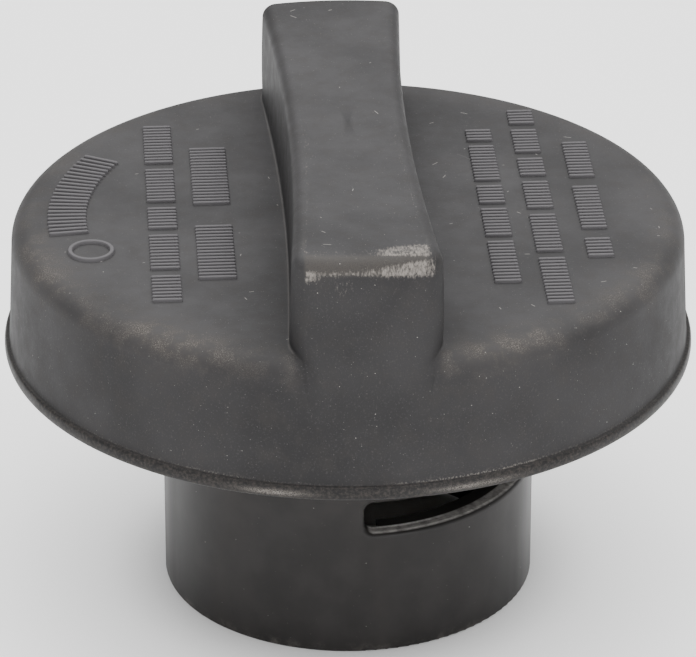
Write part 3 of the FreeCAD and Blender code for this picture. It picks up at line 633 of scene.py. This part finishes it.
def coil(radius, wire, turns, bottom, top, around=16, per_turn=48):
    """A round wire on a helix, closed by a pole at each end.

    The wire's centre is c(t) = (R cos t, R sin t, z rising evenly); a circle of the wire's radius lies
    in the plane of the outward direction and the binormal there."""
    steps = int(turns * per_turn)
    angle = np.linspace(0, 2 * math.pi * turns, steps + 1)
    rise = (top - bottom - 2 * wire) / (2 * math.pi * turns)
    outward = np.stack([np.cos(angle), np.sin(angle), np.zeros_like(angle)], -1)
    centre = outward * radius
    centre[:, 2] = bottom + wire + rise * angle
    tangent = np.stack([-radius * np.sin(angle), radius * np.cos(angle), np.full_like(angle, rise)], -1)
    tangent /= np.linalg.norm(tangent, axis=1, keepdims=True)
    binormal = np.cross(tangent, outward)
    swing = np.linspace(0, 2 * math.pi, around, endpoint=False)
    ring = outward[:, None] * np.cos(swing)[None, :, None] + binormal[:, None] * np.sin(swing)[None, :, None]
    points = (centre[:, None] + wire * ring).reshape(-1, 3)
    points = np.concatenate([points, centre[:1], centre[-1:]])
    count = (steps + 1) * around
    quads = np.concatenate([
        band_quads(steps + 1, around)[:, ::-1],
        fan_quads(count, 0, around, False),
        fan_quads(count + 1, steps * around, around, True)])
    return points, quads


# Finishes

def new_material(name, gloss=PLAIN_GLOSS):
    """A material, its tree and its shader."""
    material = bpy.data.materials.new(name)
    material.use_nodes = True
    tree = material.node_tree
    shader = tree.nodes["Principled BSDF"]
    shader.inputs["Specular IOR Level"].default_value = gloss
    return material, tree, shader


def add_node(tree, kind, inputs=None, **settings):
    """A shader node with its settings, values and links in one call."""
    node = tree.nodes.new("ShaderNode" + kind)
    for key, value in settings.items():
        setattr(node, key, value)
    for key, value in (inputs or {}).items():
        if isinstance(value, bpy.types.NodeSocket):
            tree.links.new(value, node.inputs[key])
        else:
            node.inputs[key].default_value = value
    return node


def in_millimetres(tree, stretch=(1, 1, 1)):
    """The object's own coordinates in millimetres, stretched per axis."""
    place = add_node(tree, "TexCoord")
    scale = [value / MM for value in stretch]
    return add_node(tree, "Mapping", {"Vector": place.outputs["Object"], "Scale": scale}).outputs["Vector"]


def noise(tree, vector, scale, detail=3.0, roughness=0.55, distortion=0.0):
    """Noise whose scale is in features a millimetre."""
    return add_node(tree, "TexNoise", {"Vector": vector, "Scale": scale, "Detail": detail,
                                       "Roughness": roughness, "Distortion": distortion}).outputs["Fac"]


def ramp(tree, value, low, high, start=0.0, stop=1.0):
    """A smooth step of value from start at low to stop at high."""
    node = add_node(tree, "MapRange", {"Value": value, "From Min": low, "From Max": high,
                                       "To Min": start, "To Max": stop},
                    interpolation_type="SMOOTHSTEP")
    return node.outputs["Result"]


def calc(tree, operation, first, second=None, clamp=False):
    node = add_node(tree, "Math", operation=operation, use_clamp=clamp)
    for index, value in enumerate((first, second)):
        if isinstance(value, bpy.types.NodeSocket):
            tree.links.new(value, node.inputs[index])
        elif value is not None:
            node.inputs[index].default_value = value
    return node.outputs[0]


def times(tree, first, *others):
    """The product of several values."""
    for other in others:
        first = calc(tree, "MULTIPLY", first, other)
    return first


def largest(tree, first, *others):
    for other in others:
        first = calc(tree, "MAXIMUM", first, other)
    return first


def shade(tint, share):
    return [channel * share for channel in tint]


def blend_colour(tree, amount, first, second):
    node = add_node(tree, "Mix", data_type="RGBA")
    for socket, value in ((node.inputs[0], amount), (node.inputs[6], first), (node.inputs[7], second)):
        if isinstance(value, bpy.types.NodeSocket):
            tree.links.new(value, socket)
        elif socket == node.inputs[0]:
            socket.default_value = value
        else:
            socket.default_value = (*value, 1)
    return node.outputs[2]


def layered(tree, tone, *layers):
    """A colour under layers, each an amount and the colour that it brings."""
    for amount, tint in layers:
        tone = blend_colour(tree, amount, tone, tint)
    return tone


def connect(tree, shader, tone, rough, relief):
    """Link a colour, a roughness and a relief in millimetres to the shader."""
    bump = add_node(tree, "Bump", {"Height": relief, "Distance": MM, "Strength": 1.0})
    for name, value in (("Base Color", tone), ("Roughness", rough), ("Normal", bump.outputs["Normal"])):
        tree.links.new(value, shader.inputs[name])


def specks(tree, vector, per_mm, size, share, strength):
    """Specks: the middles of a share of a Voronoi pattern's cells, each with its own size and strength.

    size is a speck's largest radius in cells, a random part of which is taken away."""
    cells = add_node(tree, "TexVoronoi", {"Vector": vector, "Scale": per_mm, "Randomness": 1.0})
    chance = add_node(tree, "SeparateColor", {"Color": cells.outputs["Color"]})
    kept = calc(tree, "GREATER_THAN", chance.outputs[0], 1 - share)
    reach = ramp(tree, chance.outputs[1], 0.0, 1.0, size * 0.35, size)
    inside = calc(tree, "LESS_THAN", cells.outputs["Distance"], reach)
    bright = ramp(tree, chance.outputs[2], 0.0, 1.0, strength * 0.2, strength)
    return times(tree, kept, inside, bright)


def flecks(tree, per_mm, long, wide, share, strength):
    """Straight marks on level faces: in a share of a flat Voronoi pattern's cells, a bar through the
    cell's point, with its own direction, length and strength. long and wide are in millimetres."""
    place = in_millimetres(tree)
    cells = add_node(tree, "TexVoronoi", {"Vector": place, "Scale": per_mm, "Randomness": 1.0},
                     voronoi_dimensions="2D")
    away = add_node(tree, "VectorMath", {0: place, 1: cells.outputs["Position"]}, operation="SUBTRACT")
    away = add_node(tree, "SeparateXYZ", {"Vector": away.outputs[0]})
    chance = add_node(tree, "SeparateColor", {"Color": cells.outputs["Color"]})
    angle = times(tree, chance.outputs[1], math.pi)
    cosine, sine = calc(tree, "COSINE", angle), calc(tree, "SINE", angle)
    along = calc(tree, "ADD", times(tree, away.outputs["X"], cosine), times(tree, away.outputs["Y"], sine))
    across = calc(tree, "SUBTRACT", times(tree, away.outputs["Y"], cosine),
                  times(tree, away.outputs["X"], sine))
    bow = times(tree, along, along, 0.05)
    reach = times(tree, chance.outputs[2], long)
    inside = times(
        tree, calc(tree, "LESS_THAN", calc(tree, "ABSOLUTE", along), reach),
        calc(tree, "LESS_THAN", calc(tree, "ABSOLUTE", calc(tree, "SUBTRACT", across, bow)), wide))
    kept = calc(tree, "GREATER_THAN", chance.outputs[0], 1 - share)
    return times(tree, inside, kept, times(tree, fade(tree, "level"), strength))


def fade(tree, name):
    return add_node(tree, "Attribute", attribute_name=name, attribute_type="GEOMETRY").outputs["Fac"]


def cover_plastic(colours):
    """Moulded charcoal plastic, mottled, with a film of fine dust and painted top light on the level faces,
    which makes them lighter than the upright faces, and specks, flecks and scratches over it.

    The mesh's own fades place the wear and the painted highlights: rubbed streaks and a brown film on the
    handle's near edge, powdery wear on the shoulder, dirt over the lip, a painted highlight along the base of
    the handle's left side, and a grimy bead with painted highlight streaks."""
    material, tree, shader = new_material("cover_plastic", COVER_GLOSS)
    place = in_millimetres(tree)
    slow = noise(tree, place, 0.06, 3.0, 0.6)
    cloud = noise(tree, place, 0.4, 4.0, 0.65)
    fine = noise(tree, place, 4.6, 2.0, 0.6)
    powder = noise(tree, place, 8.5, 2.0, 0.7)
    mottled = ramp(tree, slow, 0.3, 0.7)
    # the dusty copy also carries the painted top light of the level faces
    bare, dusty_and_top_lit = (blend_colour(tree, mottled, shade(tint, 0.8), shade(tint, 1.22))
                   for tint in (colours.cover, colours.film))

    patch = ramp(tree, noise(tree, place, 1.1, 3.0, 0.6), 0.32, 0.62, 0.78, 1.1)
    turned = add_node(tree, "Mapping", {"Vector": place, "Rotation": (0, 0, 0.6), "Scale": (1.0, 0.35, 0.45)})
    streaky = calc(tree, "SUBTRACT", noise(tree, turned.outputs["Vector"], 4.2, 3.0, 0.7), 0.5)
    rubbing = calc(tree, "ADD", times(tree, fade(tree, "edge_wear"), patch), times(tree, streaky, 2.8))
    grit = ramp(tree, rubbing, 0.35, 1.5, 0, 0.9)
    edge_film = times(tree, fade(tree, "edge_film"), ramp(tree, powder, 0.3, 0.6, 0.25, 0.6))
    shoulder = times(tree, fade(tree, "shoulder_wear"), ramp(tree, slow, 0.34, 0.58, 0.25, 1.0))
    haze = times(tree, shoulder, ramp(tree, cloud, 0.32, 0.62, 0.25, 0.8))
    rubbed = times(tree, shoulder, ramp(tree, cloud, 0.42, 0.60), ramp(tree, powder, 0.50, 0.66, 0, 0.55))
    groove = times(tree, fade(tree, "lip_dirt"), ramp(tree, fine, 0.46, 0.62, 0, 0.7),
                   ramp(tree, slow, 0.40, 0.60, 0.15, 1.0))
    # scuffs, shoulder wear and lip dirt, together with the painted highlight at the handle's base
    worn_and_highlit = largest(tree, grit, rubbed, groove, times(tree, fade(tree, "painted_base_highlight"), 0.10))
    marks = largest(
        tree, specks(tree, place, 1.25, 0.085, 0.36, 0.75), specks(tree, place, 3.4, 0.15, 0.24, 0.42),
        flecks(tree, 0.24, 0.5, 0.05, 0.26, 0.5), flecks(tree, 0.05, 4.5, 0.03, 0.3, 0.14))
    lip = fade(tree, "lip")
    grime = blend_colour(tree, ramp(tree, noise(tree, place, 2.6, 5.0, 0.75), 0.40, 0.72),
                         shade(colours.cover, 0.3), colours.grime)
    tone = layered(
        tree, bare,
        (fade(tree, "film"), dusty_and_top_lit),
        (ramp(tree, cloud, 0.42, 0.75, 0, 0.28), colours.cloud),
        (ramp(tree, fine, 0.56, 0.74, 0, 0.35), colours.grain),
        (edge_film, colours.edge_film),
        (haze, colours.haze),
        # wear and dirt, and the painted highlight along the handle's base
        (worn_and_highlit, colours.wear_and_highlight),
        (marks, colours.dust),
        (times(tree, lip, 0.75), grime),
        # painted highlight streaks on the bead, in the colour of the scuffs
        (times(tree, fade(tree, "painted_bead_highlight"), ramp(tree, powder, 0.40, 0.60, 0.1, 0.85)), colours.wear_and_highlight))

    rough = calc(tree, "ADD", ramp(tree, cloud, 0.3, 0.75, 0.55, 0.67), times(tree, grit, 0.15))
    rough = calc(tree, "SUBTRACT", rough, times(tree, lip, 0.15), clamp=True)
    relief = calc(tree, "ADD", times(tree, noise(tree, place, 3.0, 2.0), 0.012),
                  times(tree, noise(tree, place, 0.11, 1.0), 0.12))
    connect(tree, shader, tone, rough, relief)
    return material


def sleeve_plastic(colours):
    """Smoother dark plastic of the sleeve: faint upright streaks, fine specks and a scuffed rim.

    Dust and painted light lie on what faces up outside the bore, which is the window's sill, with a pale burr
    and painted highlight along the left part of the sill's inner edge."""
    material, tree, shader = new_material("sleeve_plastic", SLEEVE_GLOSS)
    place = in_millimetres(tree)
    upright = in_millimetres(tree, (1.0, 1.0, 0.12))
    parts = add_node(tree, "SeparateXYZ", {"Vector": place})
    cloud = noise(tree, place, 0.18, 4.0, 0.6)
    streak = noise(tree, upright, 0.16, 3.0, 0.5)
    marks = largest(tree, specks(tree, place, 1.1, 0.08, 0.16, 0.5),
                    specks(tree, place, 2.9, 0.12, 0.10, 0.25))
    rim = times(tree, ramp(tree, parts.outputs["Z"], 1.6, 0.1),
                ramp(tree, noise(tree, place, 0.7, 5.0, 0.7), 0.45, 0.8, 0, 0.30))
    normal = add_node(tree, "SeparateXYZ", {"Vector": add_node(tree, "TexCoord").outputs["Normal"]})
    sill_dust_and_light = ramp(tree, noise(tree, place, 1.2, 4.0, 0.6), 0.25, 0.7, 0.35, 0.9)
    level = add_node(tree, "CombineXYZ", {"X": parts.outputs["X"], "Y": parts.outputs["Y"]})
    reach = add_node(tree, "VectorMath", {0: level.outputs["Vector"]}, operation="LENGTH").outputs["Value"]
    # dust and painted light on the up-facing sill outside the bore
    sill = times(tree, ramp(tree, normal.outputs["Z"], 0.7, 1.0), sill_dust_and_light,
                 ramp(tree, reach, SLEEVE_INNER - 0.15, SLEEVE_INNER + 0.1))
    # painted highlight along the left part of the sill's inner edge, together with a burr
    burr_and_highlight = times(tree, ramp(tree, reach, SLEEVE_INNER + 0.5, SLEEVE_INNER + 0.25),
                 ramp(tree, parts.outputs["X"], 11.5, 8.0), sill)
    tone = layered(
        tree, colours.sleeve,
        (ramp(tree, cloud, 0.35, 0.7), shade(colours.sleeve, 1.5)),
        (ramp(tree, streak, 0.5, 0.8, 0, 0.2), colours.streak),
        (marks, colours.dust),
        (rim, colours.wear_and_highlight),
        (sill, colours.sill_dust_and_light),
        (burr_and_highlight, colours.burr_and_highlight))
    relief = calc(tree, "ADD", times(tree, noise(tree, place, 2.6, 3.0, 0.6), 0.004),
                  times(tree, noise(tree, upright, 0.12, 2.0), 0.03))
    connect(tree, shader, tone, ramp(tree, streak, 0.3, 0.8, 0.34, 0.48), relief)
    return material


def plain_plastic(name, tint, roughness, grain):
    """Moulded plastic or rubber of an inner part: slight shade variation and satin grain."""
    material, tree, shader = new_material(name)
    place = in_millimetres(tree)
    cloud = noise(tree, place, 0.4, 4.0, 0.6)
    tone = blend_colour(tree, ramp(tree, cloud, 0.3, 0.75), shade(tint, 0.85),
                        [min(channel, 1) for channel in shade(tint, 1.12)])
    connect(tree, shader, tone, ramp(tree, cloud, 0.3, 0.7, roughness - 0.06, roughness + 0.08),
            times(tree, noise(tree, place, 4.0, 3.0), grain))
    return material


def worked_metal(name, tint, roughness, stretch):
    """Metal with fine drawing or rolling lines along the stretched axis."""
    material, tree, shader = new_material(name)
    shader.inputs["Metallic"].default_value = 1.0
    lines = noise(tree, in_millimetres(tree, stretch), 3.0, 4.0, 0.7)
    tone = blend_colour(tree, ramp(tree, lines, 0.3, 0.75), shade(tint, 0.8), tint)
    connect(tree, shader, tone, ramp(tree, lines, 0.3, 0.7, roughness, roughness + 0.14),
            times(tree, lines, 0.004))
    return material


def dress(names, material):
    """Give CAD nodes a finish."""
    for name in names:
        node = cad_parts[name]
        node.data.materials.clear()
        node.data.materials.append(material)


# Operators

class CAP_OT_cover(bpy.types.Operator):
    """Build the cover moulding in the place of the plain one"""
    bl_idname = "cap.cover"
    bl_label = "Cover moulding"

    def execute(self, context):
        points, quads, fades = cover_moulding(context.scene.cap_cover)
        material = cover_plastic(context.scene.cap_colours)
        piece = put_piece("cover_moulding", points, quads, material, "cover", fades)
        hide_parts("cover_shell")
        return {"FINISHED"}


class CAP_OT_ribs(bpy.types.Operator):
    """Build the plain raised ribs on both sides of the handle"""
    bl_idname = "cap.ribs"
    bl_label = "Raised ribs"

    def execute(self, context):
        disc = skin_marks(context.scene.cap_cover)[0]
        points, quads = raised_ribs(context.scene.cap_ribs, disc)
        piece = put_piece("raised_ribs", points, quads, bpy.data.materials["cover_plastic"], "cover")
        return {"FINISHED"}


class CAP_OT_sleeve(bpy.types.Operator):
    """Finish the sleeve"""
    bl_idname = "cap.sleeve"
    bl_label = "Sleeve"

    def execute(self, context):
        dress(["closure_sleeve"], sleeve_plastic(context.scene.cap_colours))
        return {"FINISHED"}


class CAP_OT_springs(bpy.types.Operator):
    """Build both valve springs as wire coils, each riding on its body"""
    bl_idname = "cap.springs"
    bl_label = "Springs"

    def execute(self, context):
        material = worked_metal("spring_steel", context.scene.cap_colours.steel, 0.26, (1, 1, 1))
        for node, joint, wire, turns, body, low_end in (
                ("pressure_spring", "pressure_lift", 0.45, 5, "closure", False),
                ("vacuum_spring", "vacuum_drop", 0.22, 5, "pressure_valve", True)):
            low, high = (np.array(corner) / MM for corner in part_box(node))
            points, quads = coil(high[0] - wire, wire, turns, low[2], high[2])
            piece = put_piece(node + "_coil", points, quads, material, body)
            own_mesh(piece)
            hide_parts(node)
        return {"FINISHED"}


class CAP_OT_inner_parts(bpy.types.Operator):
    """Finish the seals, the valve parts and the rings inside the cap"""
    bl_idname = "cap.inner_parts"
    bl_label = "Inner parts"

    def execute(self, context):
        colours = context.scene.cap_colours
        dress(["neck_gasket", "housing_o_ring", "valve_seal"],
              plain_plastic("gasket_rubber", colours.rubber, 0.72, 0.02))
        dress(["valve_housing", "housing_lid"],
              plain_plastic("valve_plastic", colours.valve, 0.42, 0.006))
        dress(["vacuum_valve"], plain_plastic("poppet_plastic", colours.poppet, 0.4, 0.005))
        dress(["pawl_ring", "retaining_ring"],
              plain_plastic("pawl_plastic", colours.ratchet, 0.45, 0.008))
        dress(["pressure_valve_plate", "spring_keeper"],
              worked_metal("valve_brass", colours.brass, 0.28, (1, 0.1, 1)))
        return {"FINISHED"}


class CAP_OT_studio(bpy.types.Operator):
    """Set up the floor, the surround, the lights and the camera"""
    bl_idname = "cap.studio"
    bl_label = "Studio"

    def execute(self, context):
        studio = context.scene.cap_studio
        scene = context.scene
        half = studio.floor_size / 2
        mesh = bpy.data.meshes.new("floor")
        mesh.from_pydata([(-half, -half, 0), (half, -half, 0), (half, half, 0), (-half, half, 0)], [],
                         [(0, 1, 2, 3)])
        material, tree, shader = new_material("floor")
        shader.inputs["Base Color"].default_value = (*studio.floor_colour, 1)
        shader.inputs["Roughness"].default_value = 0.9
        shader.inputs["Emission Color"].default_value = (1, 1, 1, 1)
        away = add_node(tree, "VectorMath", {0: in_millimetres(tree)}, operation="LENGTH").outputs["Value"]
        glow = ramp(tree, away, studio.unlit / MM * 0.75, studio.unlit / MM * 1.25, 0.0, studio.floor_glow)
        tree.links.new(glow, shader.inputs["Emission Strength"])
        mesh.materials.append(material)
        floor = bpy.data.objects.new("floor", mesh)
        scene.collection.objects.link(floor)

        world = bpy.data.worlds.new("surround")
        world.use_nodes = True
        background = world.node_tree.nodes["Background"]
        background.inputs["Color"].default_value = (1, 1, 1, 1)
        background.inputs["Strength"].default_value = studio.sky
        scene.world = world

        for name, place, width, tall, power in LAMPS:
            lamp = bpy.data.lights.new(name, "AREA")
            lamp.shape = "RECTANGLE"
            lamp.size, lamp.size_y = width, tall
            lamp.energy = power
            light = bpy.data.objects.new(name, lamp)
            light.location = place
            aim = Vector((0, 0, studio.target_height)) - light.location
            light.rotation_euler = aim.to_track_quat("-Z", "Y").to_euler()
            scene.collection.objects.link(light)

        lens = bpy.data.cameras.new("camera")
        lens.lens = studio.lens
        lens.sensor_width = 36
        lens.shift_y = studio.shift_up
        camera = bpy.data.objects.new("camera", lens)
        level = math.cos(studio.elevation)
        towards = Vector((math.sin(studio.azimuth) * level, -math.cos(studio.azimuth) * level,
                          math.sin(studio.elevation)))
        camera.location = Vector((0, 0, studio.target_height)) + towards * studio.distance
        camera.rotation_euler = (-towards).to_track_quat("-Z", "Y").to_euler()
        scene.collection.objects.link(camera)
        scene.camera = camera
        return {"FINISHED"}


class CAP_PT_panel(bpy.types.Panel):
    """Lists the cap's operators and sizes"""
    bl_idname = "CAP_PT_panel"
    bl_label = "Fuel Filler Cap"
    bl_space_type = "VIEW_3D"
    bl_region_type = "UI"
    bl_category = "Fuel Cap"

    def draw(self, context):
        for operator in OPERATORS:
            self.layout.operator(operator.bl_idname)
        for group in GROUPS:
            box = self.layout.box()
            for name in group.__annotations__:
                box.prop(getattr(context.scene, GROUPS[group]), name)


GROUPS = {CoverSizes: "cap_cover", RibSizes: "cap_ribs", CapColours: "cap_colours",
          StudioSettings: "cap_studio"}
OPERATORS = (CAP_OT_cover, CAP_OT_ribs, CAP_OT_sleeve, CAP_OT_springs, CAP_OT_inner_parts, CAP_OT_studio)


def register():
    for item in (*GROUPS, *OPERATORS, CAP_PT_panel):
        bpy.utils.register_class(item)
    for group, name in GROUPS.items():
        setattr(bpy.types.Scene, name, PointerProperty(type=group))


def unregister():
    for name in GROUPS.values():
        delattr(bpy.types.Scene, name)
    for item in reversed((*GROUPS, *OPERATORS, CAP_PT_panel)):
        bpy.utils.unregister_class(item)


def main():
    register()
    for operator in OPERATORS:
        family, name = operator.bl_idname.split(".")
        getattr(getattr(bpy.ops, family), name)()


if __name__ == "__main__":
    main()
